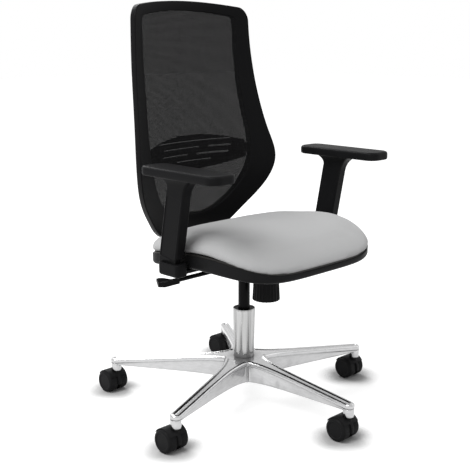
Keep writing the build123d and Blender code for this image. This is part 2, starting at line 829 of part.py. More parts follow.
def seat_outline(inset):
    """Points of the seat's plan: rounded at the corners by a power law, straight between."""
    points = []
    steps = 16
    for step in range(2 * steps):
        turn = pi * step / steps
        across, along = cos(turn), sin(turn)
        reach = (abs(across) ** seat_corner_power + abs(along) ** seat_corner_power) ** (-1 / seat_corner_power)
        depth = seat_rear_y - seat_widest_y if along > 0 else seat_widest_y - seat_front_y
        points.append((
            (seat_half_width - inset) * across * reach,
            seat_widest_y + (depth - inset) * along * reach,
        ))
    return points


def seat_slice(lower, upper, inset):
    """The seat between two side profiles, each a list of (y, z), within its plan."""
    with BuildPart() as piece:
        with BuildSketch(Plane.YZ.offset(-seat_half_width - 1.0)):
            with BuildLine():
                low = Spline(*lower)
                high = Spline(*upper)
                Line(low @ 0, high @ 0)
                Line(low @ 1, high @ 1)
            make_face()
        extrude(amount=2 * seat_half_width + 2.0)
        with BuildSketch(Plane.XY.offset(seam_profile[-1][1] - 100)):
            with BuildLine():
                Spline(*seat_outline(inset), periodic=True)
            make_face()
        extrude(amount=250, mode=Mode.INTERSECT)
    return piece


def lowered(profile, drops):
    return [(y, z - drop) for (y, z), drop in zip(profile, drops)]


with BuildPart() as seat_cushion:
    add(seat_slice(seam_profile, crown_profile, 0).part)
    fillet(seat_cushion.faces().sort_by(Axis.Z)[-1].edges(), cushion_edge)
save(seat_cushion, "seat_cushion")

seat_screw_places = [(x, y) for x in (-seat_screw_x, seat_screw_x) for y in (seat_screw_front_y, seat_screw_rear_y)]
arm_screw_places = [
    (side * (bar_inner_x + rib_width / 2), arm_root_y + shift)
    for side in (-1, 1)
    for shift in (-arm_screw_spread / 2, arm_screw_spread / 2)
]
bar_top = bar_bottom + bar_thickness
carrier_top = carrier_bottom + carrier_thickness
pan_upper = lowered(seam_profile, [seat_gap] * 4)
pan_lower = lowered(pan_upper, [pan_thickness] * 4)

with BuildPart() as seat_pan:
    with BuildSketch(Plane.XY.offset(carrier_top)):
        with Locations(*seat_screw_places):
            Circle(pan_boss_radius)
    extrude(amount=60.0)
    with BuildSketch(Plane.XY.offset(bar_top)):
        for side in (-1, 1):
            with Locations((side * (bar_inner_x + rib_width / 2), arm_root_y)):
                Rectangle(rib_width, bar_width + 2 * rib_margin)
    extrude(amount=60.0)
    add(seat_slice(pan_lower, lowered(pan_upper, [-60.0] * 4), pan_inset).part, mode=Mode.SUBTRACT)
    add(seat_slice(pan_lower, pan_upper, pan_inset).part)
    with BuildSketch(Plane.XY.offset(carrier_top)):
        with Locations(*seat_screw_places):
            Circle(screw_radius + press_gap)
    extrude(amount=screw_bite + 1.0, mode=Mode.SUBTRACT)
    with BuildSketch(Plane.XY.offset(bar_top)):
        with Locations(*arm_screw_places):
            Circle(screw_radius + press_gap)
    extrude(amount=screw_bite + 1.0, mode=Mode.SUBTRACT)
save(seat_pan, "seat_pan")

shell_rim = lowered(seam_profile, [shell_drop] * 4)
shell_base = lowered(shell_rim, shell_band)
with BuildPart() as seat_shell:
    add(seat_slice(shell_base, shell_rim, shell_inset).part)
    fillet(seat_shell.faces().sort_by(Axis.Z)[0].edges(), shell_edge)
    hollow = seat_slice(lowered(shell_base, [-shell_wall] * 4), seam_profile, shell_inset + shell_wall)
    add(hollow.part, mode=Mode.SUBTRACT)
    with BuildSketch(Plane.XY.offset(hub_top)):
        with Locations((0, shell_opening_front)):
            Rectangle(2 * shell_opening_half, shell_opening_rear - shell_opening_front,
                      align=(Align.CENTER, Align.MIN))
    extrude(amount=500.0, mode=Mode.SUBTRACT)
save(seat_shell, "seat_shell")

with BuildPart() as seat_screws:
    for x, y in seat_screw_places:
        add(screw((x, y, carrier_bottom), (0, 0, 1), carrier_thickness + screw_bite))
save(seat_screws, "seat_screws")

with BuildPart() as arm_screws:
    for x, y in arm_screw_places:
        add(screw((x, y, bar_bottom), (0, 0, 1), bar_thickness + screw_bite))
save(arm_screws, "arm_screws")

# ---- arms ----


def lean_plane(side, along):
    """Across the leaning post of one arm, at a distance along it from its root."""
    tilt = radians(arm_lean)
    axis = Vector(0, -sin(tilt), cos(tilt))
    root = Vector(side * arm_x, arm_root_y, arm_root_z)
    return Plane(origin=root + axis * along, x_dir=(1, 0, 0), z_dir=axis)


def arm(name, side):
    """Bracket, foot cover, sleeve, release button and pad of one arm."""
    cavity_thickness = post_thickness + 2 * slide_gap
    cavity_depth = post_depth + 2 * slide_gap
    sleeve_thickness = cavity_thickness + 2 * sleeve_wall
    sleeve_depth = cavity_depth + 2 * sleeve_wall
    post_start = bar_bottom + bar_thickness / 2 - arm_root_z
    bar_end = arm_x + post_thickness / 2
    pad_centre_y = (pad_front_y + pad_rear_y) / 2
    flare_y = arm_root_y - (pad_bottom - arm_root_z) * tan(radians(arm_lean)) - 5.0
    waist_y = arm_root_y - (pad_bottom - flare_waist - arm_root_z) * tan(radians(arm_lean)) - 2.0
    waist_thickness = sleeve_thickness + flare_waist_share * (flare_thickness - sleeve_thickness)
    waist_depth = sleeve_depth + flare_waist_share * (flare_depth - sleeve_depth)

    with BuildPart() as bracket:
        with BuildSketch(Plane.XY.offset(bar_bottom)):
            with Locations((side * (bar_inner_x + bar_end) / 2, arm_root_y)):
                Rectangle(bar_end - bar_inner_x, bar_width)
        extrude(amount=bar_thickness)
        with BuildSketch(lean_plane(side, post_start)):
            RectangleRounded(post_thickness, post_depth, 2.0)
        extrude(amount=post_length)
        with BuildSketch(lean_plane(side, 0)):
            with Locations((0, post_depth / 2)):
                Rectangle(post_slot, 2 * post_slot_depth)
        extrude(amount=post_length, mode=Mode.SUBTRACT)
        with BuildSketch(Plane.XY.offset(bar_bottom)):
            with Locations(*[place for place in arm_screw_places if place[0] * side > 0]):
                Circle(screw_radius + slide_gap)
        extrude(amount=bar_thickness, mode=Mode.SUBTRACT)
    save(bracket, f"arm_bracket_{name}")

    with BuildPart() as foot:
        with BuildSketch(Plane.XY.offset(bar_bottom)):
            with Locations((side * arm_x, arm_root_y - foot_forward)):
                RectangleRounded(foot_thickness, foot_depth, foot_rounding)
        extrude(amount=foot_height)
        fillet(foot.edges().group_by(Axis.Z)[0], foot_rounding - 2.0)
        fillet(foot.edges().group_by(Axis.Z)[-1], 2.0)
        with BuildSketch(Plane.XY.offset(bar_bottom - bar_thickness)):
            with Locations((side * (bar_end + slide_gap), arm_root_y)):
                Rectangle(bar_end, bar_width + 2 * slide_gap,
                          align=(Align.MAX if side > 0 else Align.MIN, Align.CENTER))
        extrude(amount=2 * bar_thickness + slide_gap, mode=Mode.SUBTRACT)
        with BuildSketch(lean_plane(side, post_start - bar_thickness)):
            RectangleRounded(cavity_thickness, cavity_depth, 2.0)
        extrude(amount=post_length, mode=Mode.SUBTRACT)
    save(foot, f"arm_foot_{name}")

    with BuildPart() as sleeve:
        with BuildSketch(lean_plane(side, sleeve_start)):
            RectangleRounded(sleeve_thickness, sleeve_depth, sleeve_corner)
        extrude(amount=flare_start - sleeve_start)
        with BuildSketch(lean_plane(side, flare_start)):
            RectangleRounded(sleeve_thickness, sleeve_depth, sleeve_corner)
        with BuildSketch(Plane(origin=(side * arm_x, waist_y, pad_bottom - flare_waist))):
            RectangleRounded(waist_thickness, waist_depth, 1.5 * sleeve_corner)
        with BuildSketch(Plane(origin=(side * arm_x, flare_y, pad_bottom))):
            RectangleRounded(flare_thickness, flare_depth, 2 * sleeve_corner)
        loft()
        with BuildSketch(lean_plane(side, sleeve_start)):
            RectangleRounded(cavity_thickness, cavity_depth, 1.5)
        extrude(amount=post_start + post_length - sleeve_start + 2.0, mode=Mode.SUBTRACT)
        panel_length = flare_start - 2 * panel_margin - (sleeve_foot_z - arm_root_z)
        outer = lean_plane(side, flare_start - panel_margin - panel_length / 2)
        face = Plane(
            origin=outer.origin + Vector(side * (sleeve_thickness / 2 - panel_recess), 0, 0),
            x_dir=outer.y_dir,
            z_dir=(1, 0, 0),
        )
        with BuildSketch(face):
            RectangleRounded(sleeve_depth - panel_margin, panel_length, sleeve_wall)
        extrude(amount=side * 2 * panel_recess, mode=Mode.SUBTRACT)
        with BuildSketch(button_plane(side, sleeve_depth / 2 + 1.0)):
            RectangleRounded(button_width + 2 * slide_gap, button_height + 2 * slide_gap, 2.0)
        extrude(amount=-2 * sleeve_wall, mode=Mode.SUBTRACT)
        foot_tilt = radians(sleeve_foot_rise)
        foot_edge = Vector(side * arm_x, arm_root_y + sleeve_depth / 2, sleeve_foot_z)
        split(bisect_by=Plane(origin=foot_edge, z_dir=(0, sin(foot_tilt), cos(foot_tilt))), keep=Keep.TOP)
    save(sleeve, f"arm_sleeve_{name}")

    with BuildPart() as button:
        with BuildSketch(button_plane(side, sleeve_depth / 2 + button_stand)):
            RectangleRounded(button_width, button_height, 2.0)
        extrude(amount=-button_length)
    save(button, f"arm_button_{name}")

    with BuildPart() as pad:
        with BuildSketch(Plane.XY.offset(pad_bottom)):
            with Locations((side * arm_x, pad_centre_y)):
                RectangleRounded(pad_width, pad_rear_y - pad_front_y, pad_corner)
        extrude(amount=pad_thickness)
        fillet(pad.edges().group_by(Axis.Z)[-1], pad_edge)
        fillet(pad.edges().group_by(Axis.Z)[0], pad_edge / 2)
    save(pad, f"arm_pad_{name}")


def button_plane(side, out):
    """Facing backwards from a sleeve, at a distance out from the post's middle."""
    middle = lean_plane(side, button_at)
    return Plane(origin=middle.origin + middle.y_dir * out, x_dir=(1, 0, 0), z_dir=middle.y_dir)


arm("right", -1)
arm("left", 1)

# ---- back ----


def back_sheet(setback, thickness):
    """A sheet that follows the back's curve, its front face set back from the frame's."""
    half = 260.0
    sagitta = back_plan_radius - sqrt(back_plan_radius**2 - half**2)
    with BuildPart() as sheet:
        for height, depth in back_profile:
            front = depth + setback
            rear = front + thickness
            with BuildSketch(Plane.XY.offset(height)):
                with BuildLine():
                    ThreePointArc((-half, front - sagitta), (0, front), (half, front - sagitta))
                    Line((half, front - sagitta), (half, rear - sagitta))
                    ThreePointArc((half, rear - sagitta), (0, rear), (-half, rear - sagitta))
                    Line((-half, rear - sagitta), (-half, front - sagitta))
                make_face()
        loft()
    return sheet.part


def grown(points, corner, top, rise, amount):
    """An outline of the back moved outwards by an amount."""
    start = (points[0][0] - 1.0, points[0][1] - rise)
    end = (points[-1][0] - side_tangent, points[-1][1] + 1.0)
    route = [start, *points, end]
    moved = []
    for before, point, after in zip(route, route[1:], route[2:]):
        run = (Vector(*after) - Vector(*before)).normalized()
        moved.append((point[0] + amount * run.Y, point[1] - amount * run.X))
    return moved, (corner[0] + corner_tangent * amount, corner[1] + amount), top + amount, rise


def back_prism(points, corner, top, rise):
    """Everything within an outline that is seen from the front; rise is how it leaves the bottom."""
    across, upper = points[-1]
    with BuildPart() as prism:
        with BuildSketch(Plane.XZ.offset(-500.0)):
            with BuildLine():
                Line((0, points[0][1]), points[0])
                Spline(*points, tangents=((1, rise), (-side_tangent, 1)))
                Spline((across, upper), corner, tangents=((-side_tangent, 1), (-1, corner_tangent)))
                ThreePointArc(corner, (corner[0] / 2, top - (top - corner[1]) / 4), (0, top))
                mirror(about=Plane.YZ)
            make_face()
        extrude(amount=1000.0)
    return prism.part


back_screw_places = [(x, z) for x in (-back_screw_x, back_screw_x) for z in (back_screw_low, back_screw_high)]
frame_edge = (frame_outline, frame_top_corner, frame_top, frame_rise)
mesh_edge = (mesh_outline, mesh_top_corner, mesh_top, mesh_rise)

with BuildPart() as back_frame:
    add(back_sheet(0, frame_thickness))
    add(back_prism(*frame_edge), mode=Mode.INTERSECT)
    add(back_prism(*mesh_edge), mode=Mode.SUBTRACT)
    with BuildSketch(Plane.XZ.offset(-frame_boss_rear)):
        with Locations((0, (frame_boss_bottom + frame_boss_top) / 2)):
            RectangleRounded(2 * frame_boss_half, frame_boss_top - frame_boss_bottom, 6.0)
    extrude(amount=frame_boss_depth)
    with BuildSketch(Plane.XZ.offset(-frame_boss_rear)):
        with Locations(*back_screw_places):
            Circle(screw_radius + press_gap)
    extrude(amount=screw_bite - 1.0, mode=Mode.SUBTRACT)
    tongue_slot = back_sheet(mesh_setback - groove_clearance, mesh_thickness + 2 * groove_clearance)
    tongue_room = back_prism(*grown(*mesh_edge, mesh_tongue + groove_depth_gap))
    add(tongue_slot & tongue_room, mode=Mode.SUBTRACT)
    with BuildSketch(Plane.XY.offset(lumbar_tab_low - lumbar_down - slide_gap)):
        with Locations((0, lumbar_tab_front - slide_gap)):
            Rectangle(
                2 * (lumbar_tab_reach + slide_gap),
                lumbar_tab_thickness + 2 * slide_gap,
                align=(Align.CENTER, Align.MIN),
            )
    tab_travel = lumbar_tab_high - lumbar_tab_low + lumbar_down + lumbar_up
    extrude(amount=tab_travel + 2 * slide_gap, mode=Mode.SUBTRACT)
save(back_frame, "back_frame")

with BuildPart() as back_mesh:
    add(back_sheet(mesh_setback, mesh_thickness))
    add(back_prism(*grown(*mesh_edge, mesh_tongue)), mode=Mode.INTERSECT)
save(back_mesh, "back_mesh")

with BuildPart() as lumbar_support:
    with BuildSketch(Plane.XZ.offset(-500.0)):
        with BuildLine():
            top_end = (lumbar_half, lumbar_top - lumbar_top_drop)
            low_end = (lumbar_half, lumbar_bottom + lumbar_bottom_rise)
            ThreePointArc((-top_end[0], top_end[1]), (0, lumbar_top), top_end)
            Line(top_end, low_end)
            ThreePointArc(low_end, (0, lumbar_bottom), (-low_end[0], low_end[1]))
            Line((-low_end[0], low_end[1]), (-top_end[0], top_end[1]))
        make_face()
    crescent = extrude(amount=1000.0, mode=Mode.PRIVATE)
    add(crescent & back_sheet(mesh_setback + mesh_thickness + lumbar_gap, lumbar_thickness))
    with BuildSketch(Plane.XZ.offset(-500.0)):
        for drop, half, shift in lumbar_slots:
            with Locations((shift, lumbar_top - drop)):
                SlotOverall(2 * half, slot_height)
    extrude(amount=1000.0, mode=Mode.SUBTRACT)
    for side in (-1, 1):
        with BuildSketch(Plane.XY.offset(lumbar_tab_low)):
            with Locations((side * lumbar_tab_reach, lumbar_tab_front)):
                Rectangle(
                    lumbar_tab_reach - lumbar_tab_inner,
                    lumbar_tab_thickness,
                    align=(Align.MAX if side > 0 else Align.MIN, Align.MIN),
                )
        extrude(amount=lumbar_tab_high - lumbar_tab_low)
save(lumbar_support, "lumbar_support")

with BuildPart() as back_screws:
    for x, z in back_screw_places:
        add(screw((x, frame_boss_rear + bracket_thickness, z), (0, -1, 0), bracket_thickness + screw_bite - 2.0))
save(back_screws, "back_screws")
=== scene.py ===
import math
import bmesh
import bpy
import numpy as np
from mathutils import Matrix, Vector


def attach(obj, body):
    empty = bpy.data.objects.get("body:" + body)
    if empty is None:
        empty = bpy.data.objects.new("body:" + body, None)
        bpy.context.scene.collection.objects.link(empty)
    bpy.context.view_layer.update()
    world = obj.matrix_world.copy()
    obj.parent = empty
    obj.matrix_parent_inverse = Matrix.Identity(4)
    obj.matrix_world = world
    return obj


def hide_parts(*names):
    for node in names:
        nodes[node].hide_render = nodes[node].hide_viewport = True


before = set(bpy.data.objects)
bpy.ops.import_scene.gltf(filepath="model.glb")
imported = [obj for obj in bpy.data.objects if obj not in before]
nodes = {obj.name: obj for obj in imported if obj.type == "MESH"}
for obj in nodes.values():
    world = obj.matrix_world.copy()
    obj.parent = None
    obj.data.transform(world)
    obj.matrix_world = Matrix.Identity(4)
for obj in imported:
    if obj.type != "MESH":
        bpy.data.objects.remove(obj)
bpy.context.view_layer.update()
scene = bpy.context.scene
print("frame loaded with", len(nodes), "parts")


# Small helpers

weldReach = 0.00001  # points closer together than this are joined


class Wire:
    # an output socket, so that shader maths can be written as arithmetic
    def __init__(self, finish, socket):
        self.finish = finish
        self.socket = socket

    def maths(self, operation, first, second=0.0):
        return self.finish.node("Math", {"operation": operation}, {0: first, 1: second})

    def __add__(self, other):
        return self.maths("ADD", self, other)

    def __sub__(self, other):
        return self.maths("SUBTRACT", self, other)

    def __rsub__(self, other):
        return self.maths("SUBTRACT", other, self)

    def __mul__(self, other):
        return self.maths("MULTIPLY", self, other)

    def __truediv__(self, other):
        return self.maths("DIVIDE", self, other)

    def __rtruediv__(self, other):
        return self.maths("DIVIDE", other, self)

    def __pow__(self, other):
        return self.maths("POWER", self, other)

    def __rpow__(self, other):
        return self.maths("POWER", other, self)

    def __gt__(self, other):
        return self.maths("GREATER_THAN", self, other)

    def __lt__(self, other):
        return self.maths("LESS_THAN", self, other)

    __radd__ = __add__
    __rmul__ = __mul__

    def sine(self):
        return self.maths("SINE", self)

    def size(self):
        return self.maths("ABSOLUTE", self)

    def most(self, other):
        return self.maths("MAXIMUM", self, other)

    def least(self, other):
        return self.maths("MINIMUM", self, other)


class Finish:
    # the nodes of one material, or of the world
    def __init__(self, name, world=None):
        self.material = world or bpy.data.materials.new(name)
        self.material.use_nodes = True
        self.tree = self.material.node_tree
        self.tree.nodes.clear()
        self.place = self.node("TexCoord", out="Object")

    def node(self, kind, settings=None, inputs=None, out=0):
        made = self.tree.nodes.new("ShaderNode" + kind)
        for key, value in (settings or {}).items():
            if key == "stops":
                self.setStops(made.color_ramp, value)
            else:
                setattr(made, key, value)
        for key, value in (inputs or {}).items():
            if isinstance(value, Wire):
                self.tree.links.new(value.socket, made.inputs[key])
            else:
                made.inputs[key].default_value = value
        return Wire(self, made.outputs[out]) if made.outputs else None

    def setStops(self, ramp, stops):
        while len(ramp.elements) < len(stops):
            ramp.elements.new(1.0)
        for element, (at, colour) in zip(ramp.elements, stops):
            element.position = at
            element.color = (*colour, 1.0) if isinstance(colour, tuple) else (colour, colour, colour, 1.0)

    def axes(self):
        split = self.node("SeparateXYZ", None, {0: self.place})
        outputs = split.socket.node.outputs
        return [Wire(self, outputs[index]) for index in range(3)]

    def stretched(self, factors):
        return self.node("Mapping", None, {"Vector": self.place, "Scale": factors})

    def noise(self, scale, detail=3.0, roughness=0.55, stretch=None):
        vector = self.stretched(stretch) if stretch else self.place
        settings = {"Vector": vector, "Scale": scale, "Detail": detail, "Roughness": roughness}
        return self.node("TexNoise", None, settings)

    def ramp(self, value, *stops):
        return self.node("ValToRGB", {"stops": stops}, {0: value})

    def mix(self, factor, first, second):
        return self.node("Mix", {"data_type": "RGBA"}, {0: factor, 6: first, 7: second}, out=2)

    def spread(self, value, low, high):
        return self.node("MapRange", None, {0: value, 3: low, 4: high})

    def softEdge(self, radius):
        return self.node("Bevel", {"samples": 6}, {"Radius": radius})

    def bump(self, height, distance, strength=1.0, normal=None):
        inputs = {"Height": height, "Distance": distance, "Strength": strength}
        if normal:
            inputs["Normal"] = normal
        return self.node("Bump", None, inputs)

    def shadeMask(self, reach):
        # ambient occlusion used to paint shade and shadow into colours: 1 in the open, falling towards 0 in
        # corners and under overhangs
        return self.node("AmbientOcclusion", {"samples": 12}, {"Distance": reach}, out="AO")

    def edgeWear(self, radius):
        # 0 on flats, rising towards sharp edges
        rounded = self.softEdge(radius)
        true = self.node("NewGeometry", None, None, out="Normal")
        alike = self.node("VectorMath", {"operation": "DOT_PRODUCT"}, {0: rounded, 1: true}, out="Value")
        return self.spread(alike, 1.0, 0.0)

    def surface(self, **inputs):
        named = {key.replace("_", " "): value for key, value in inputs.items()}
        shader = self.node("BsdfPrincipled", None, named)
        self.node("OutputMaterial", None, {"Surface": shader})
        return self.material


def shade(*pairs):
    for material, names in pairs:
        for name in names:
            data = nodes[name].data
            data.materials.clear()
            data.materials.append(material)


def smoothFaces(mesh):
    mesh.polygons.foreach_set("use_smooth", [True] * len(mesh.polygons))


def newPiece(name, points, faces, material, smooth=True):
    mesh = bpy.data.meshes.new(name)
    mesh.from_pydata([tuple(point) for point in points], [], faces)
    mesh.update()
    piece = bpy.data.objects.new(name, mesh)
    scene.collection.objects.link(piece)
    mesh.materials.append(material)
    if smooth:
        smoothFaces(mesh)
    return piece


def copyPart(node, name):
    mesh = nodes[node].data.copy()
    mesh.name = name
    piece = bpy.data.objects.new(name, mesh)
    scene.collection.objects.link(piece)
    shape = bmesh.new()
    shape.from_mesh(mesh)
    bmesh.ops.remove_doubles(shape, verts=shape.verts, dist=weldReach)
    shape.to_mesh(mesh)
    shape.free()
    return piece


def applyAll(piece):
    graph = bpy.context.evaluated_depsgraph_get()
    baked = bpy.data.meshes.new_from_object(piece.evaluated_get(graph))
    piece.modifiers.clear()
    piece.data = baked
    return piece


def corners(piece):
    spots = np.empty(len(piece.data.vertices) * 3)
    piece.data.vertices.foreach_get("co", spots)
    return spots.reshape(-1, 3)


def setCorners(piece, spots):
    piece.data.vertices.foreach_set("co", spots.ravel())
    piece.data.update()


def cubic(knots, ends=None):
    # a smooth curve through (at, value) knots, natural or with given slopes at its ends, as a function
    at = np.array([knot[0] for knot in knots])
    value = np.array([knot[1] for knot in knots])
    gap = np.diff(at)
    slope = np.diff(value) / gap
    count = len(at)
    system = np.eye(count)
    right = np.zeros(count)
    for row in range(1, count - 1):
        system[row, row - 1:row + 2] = gap[row - 1], 2 * (gap[row - 1] + gap[row]), gap[row]
        right[row] = 6 * (slope[row] - slope[row - 1])
    if ends:
        system[0, :2] = 2 * gap[0], gap[0]
        right[0] = 6 * (slope[0] - ends[0])
        system[-1, -2:] = gap[-1], 2 * gap[-1]
        right[-1] = 6 * (ends[1] - slope[-1])
    bend = np.linalg.solve(system, right)

    def curve(x):
        index = np.clip(np.searchsorted(at, x) - 1, 0, count - 2)
        step = gap[index]
        left = at[index + 1] - x
        past = x - at[index]
        return (
            (bend[index] * left**3 + bend[index + 1] * past**3) / (6 * step)
            + (value[index] / step - bend[index] * step / 6) * left
            + (value[index + 1] / step - bend[index + 1] * step / 6) * past
        )

    return curve


def smoothLine(points, directions, samples):
    # points joined by a cubic over the length of their chords, with the direction given at each end
    points = np.array(points, float)
    along = np.concatenate(([0], np.cumsum(np.linalg.norm(np.diff(points, axis=0), axis=1))))
    at = np.linspace(0, along[-1], samples)
    ways = [np.array(way) / np.linalg.norm(way) for way in directions]
    lines = [cubic(list(zip(along, points[:, axis])), (ways[0][axis], ways[1][axis])) for axis in range(2)]
    return np.stack([line(at) for line in lines], axis=1)


# Camera, stage and light

viewSet = {
    "aim": (-0.01555, 0.01541, 0.41595),
    "azimuth": -44.74,
    "elevation": 12.64,
    "distance": 2.110,
    "lens": 68.0,
}


def makeCamera():
    azimuth = math.radians(viewSet["azimuth"])
    elevation = math.radians(viewSet["elevation"])
    back = Vector((
        math.sin(azimuth) * math.cos(elevation),
        -math.cos(azimuth) * math.cos(elevation),
        math.sin(elevation),
    ))
    lens = bpy.data.cameras.new("camera")
    lens.sensor_width = 36.0
    lens.lens = viewSet["lens"]
    camera = bpy.data.objects.new("camera", lens)
    camera.location = Vector(viewSet["aim"]) + viewSet["distance"] * back
    camera.rotation_euler = back.to_track_quat("Z", "Y").to_euler()
    scene.collection.objects.link(camera)
    scene.camera = camera


lightSet = {
    "key": {"at": (-1.9, 0.0, 2.8), "size": 1.8, "power": 76.0},
    "fill": {"at": (2.4, -1.6, 1.8), "size": 2.2, "power": 8.0},
    "rim": {"at": (0.6, 2.2, 2.4), "size": 1.6, "power": 40.0},
    "target": (0.0, 0.0, 0.4),
    "white": (1.0, 1.0, 1.0, 1.0),
    "black": (0.0, 0.0, 0.0, 1.0),
    "sky": 0.54,
    "floorSize": 30.0,
    "floorColour": (0.5, 0.5, 0.5, 1.0),
    "floorReach": 2.0,
    "floorLift": ((0.25, 0.7), (0.9, 0.85)),  # (share of floorReach, glow) near the chair and far from it
    "shadowReach": 0.06,
    "shadowStops": (0.8, 0.99),
}


def makeLamp(name):
    lamp = lightSet[name]
    light = bpy.data.lights.new(name, "AREA")
    light.shape = "DISK"
    light.size = lamp["size"]
    light.energy = lamp["power"]
    holder = bpy.data.objects.new(name, light)
    holder.location = lamp["at"]
    aim = Vector(lightSet["target"]) - Vector(lamp["at"])
    holder.rotation_euler = aim.to_track_quat("-Z", "Y").to_euler()
    scene.collection.objects.link(holder)


def straightRays(finish):
    # 1 for rays that see the studio itself, also in metal and through the mesh
    rays = [finish.node("LightPath", out=f"Is {kind} Ray") for kind in ("Camera", "Glossy", "Transmission")]
    return rays[0].most(rays[1]).most(rays[2])


def makeSky():
    # dim as a light, white where it is seen
    scene.world = bpy.data.worlds.new("studio")
    sky = Finish("studio", scene.world)
    dim, full = (sky.node("Background", None, {"Color": lightSet["white"], "Strength": strength})
                 for strength in (lightSet["sky"], 1.0))
    blend = sky.node("MixShader", None, {0: straightRays(sky), 1: dim, 2: full})
    sky.node("OutputWorld", None, {"Surface": blend})


def makeFloor():
    # white to the eye, but for the shadows close to what stands on it: real shadow in its diffuse part,
    # deepened by painted shadow where its glow fades close to things
    finish = Finish("studioFloor")
    x, y = finish.axes()[:2]
    away = (x * x + y * y) ** 0.5 / lightSet["floorReach"]
    inShadow, inTheOpen = lightSet["shadowStops"]
    # painted shadow: the floor's glow is dimmed by ambient occlusion close to the castors and whatever else
    # stands on it
    clear = finish.ramp(finish.shadeMask(lightSet["shadowReach"]), (inShadow, 0.0), (inTheOpen, 1.0))
    lift = finish.mix(clear, lightSet["black"], finish.ramp(away, *lightSet["floorLift"]))
    seen = finish.mix(straightRays(finish), lightSet["black"], lift)
    glow = finish.node("Emission", None, {"Color": seen})
    shader = finish.node("BsdfDiffuse", None, {"Color": lightSet["floorColour"]})
    both = finish.node("AddShader", None, {0: shader, 1: glow})
    finish.node("OutputMaterial", None, {"Surface": both})
    half = lightSet["floorSize"] / 2
    spots = [(-half, -half, 0), (half, -half, 0), (half, half, 0), (-half, half, 0)]
    newPiece("studioFloor", spots, [(0, 1, 2, 3)], finish.material, smooth=False)


makeCamera()
for lampName in ("key", "fill", "rim"):
    makeLamp(lampName)
makeSky()
makeFloor()
scene.view_settings.view_transform = "Standard"
print("camera and stage ready")


# Finishes

def toned(colour, factor, lift=0.0):
    return tuple(factor * part + lift for part in colour) + (1.0,)


plasticSet = {
    "grainDepth": 0.00006,
    "edge": 0.0009,
    "wear": 0.35,
    "roughSpan": 0.06,
    "shine": 0.05,
}


def mouldedPlastic(name, colour, rough, grain=1800.0):
    finish = Finish(name)
    fine = finish.noise(grain, detail=2.0)
    broad = finish.noise(14.0, detail=4.0)
    wear = finish.edgeWear(plasticSet["edge"])
    tint = finish.mix(finish.spread(broad, 0.1, 0.9), toned(colour, 0.82), toned(colour, 1.25, 0.002))
    tint = finish.mix(wear * plasticSet["wear"], tint, toned(colour, 1.6, 0.002))
    span = plasticSet["roughSpan"]
    roughness = finish.spread(broad, rough - span, rough + span) - wear * 0.1
    normal = finish.bump(fine, plasticSet["grainDepth"], 0.55, finish.softEdge(plasticSet["edge"]))
    return finish.surface(Base_Color=tint, Roughness=roughness, Normal=normal,
                          Specular_IOR_Level=plasticSet["shine"])


coatSet = {
    "peelScale": 420.0,
    "peelDepth": 0.00008,
    "edge": 0.0007,
    "roughSpan": 0.05,
    "shine": 0.06,
}


def coatedSteel(name, colour, rough):
    finish = Finish(name)
    peel = finish.noise(coatSet["peelScale"], detail=2.0)
    broad = finish.noise(20.0, detail=5.0)
    tint = finish.mix(broad, toned(colour, 0.85), toned(colour, 1.2))
    normal = finish.bump(peel, coatSet["peelDepth"], 0.4, finish.softEdge(coatSet["edge"]))
    span = coatSet["roughSpan"]
    return finish.surface(Base_Color=tint, Roughness=finish.spread(peel, rough - span, rough + span),
                          Normal=normal, Specular_IOR_Level=coatSet["shine"])


metalSet = {
    "lineScale": 60.0,
    "lineStops": (0.36, 0.6),
    "shadeReach": 0.03,
    "shadeStops": (0.4, 0.95),
    "lineDepth": 0.00002,
}


def brightMetal(name, colour, rough, streak, edge, reflectionStreakDim=0.92, corner=0.9):
    # the streak factor dims the streaks in the colour: painted reflection streaks, strongest on the tube.
    # The corner factor dims the hollows: painted shade.
    finish = Finish(name)
    lines = finish.noise(metalSet["lineScale"], detail=2.0, stretch=streak)
    haze = finish.noise(18.0, detail=4.0)
    dimAt, fullAt = metalSet["lineStops"]
    # painted reflection streaks: along the lines the colour is dimmed, while in roughness and bump the same
    # lines are real polishing lines
    tone = finish.ramp(lines, (dimAt, toned(colour, reflectionStreakDim)[:3]), (fullAt, colour))
    # painted shade: in hollows and under overhangs the colour falls towards corner times itself
    shadedAt, unshadedAt = metalSet["shadeStops"]
    clear = finish.ramp(finish.shadeMask(metalSet["shadeReach"]), (shadedAt, 0.0), (unshadedAt, 1.0))
    tint = finish.mix(clear, toned(colour, corner), tone)
    roughness = finish.spread(lines, rough * 0.7, rough * 1.4) + haze * 0.03
    normal = finish.bump(lines, metalSet["lineDepth"], 0.35, finish.softEdge(edge))
    return finish.surface(Base_Color=tint, Metallic=1.0, Roughness=roughness, Normal=normal)


skinSet = {
    "pebbleScale": 900.0,
    "pebbleDepth": 0.00012,
    "rough": (0.48, 0.6),
    "shine": 0.07,
}


def softSkin(name, colour):
    finish = Finish(name)
    settings = {"Vector": finish.place, "Scale": skinSet["pebbleScale"]}
    pebble = finish.node("TexVoronoi", {"feature": "SMOOTH_F1"}, settings)
    broad = finish.noise(16.0, detail=4.0)
    tint = finish.mix(broad, toned(colour, 0.85), toned(colour, 1.3))
    normal = finish.bump(pebble, skinSet["pebbleDepth"], 0.45)
    return finish.surface(Base_Color=tint, Roughness=finish.spread(broad, *skinSet["rough"]), Normal=normal,
                          Specular_IOR_Level=skinSet["shine"])


clothSet = {
    "colour": (0.47, 0.472, 0.475),
    # painted shade near the back, the arms and other overhangs: its colour share, reach and stops
    "corner": 0.65,
    "shadeReach": 0.11,
    "shadeStops": (0.3, 0.75),
    "thread": 0.0009,
    "relief": 0.00018,
    "rough": (0.78, 0.94),
    "sheen": 0.25,
}


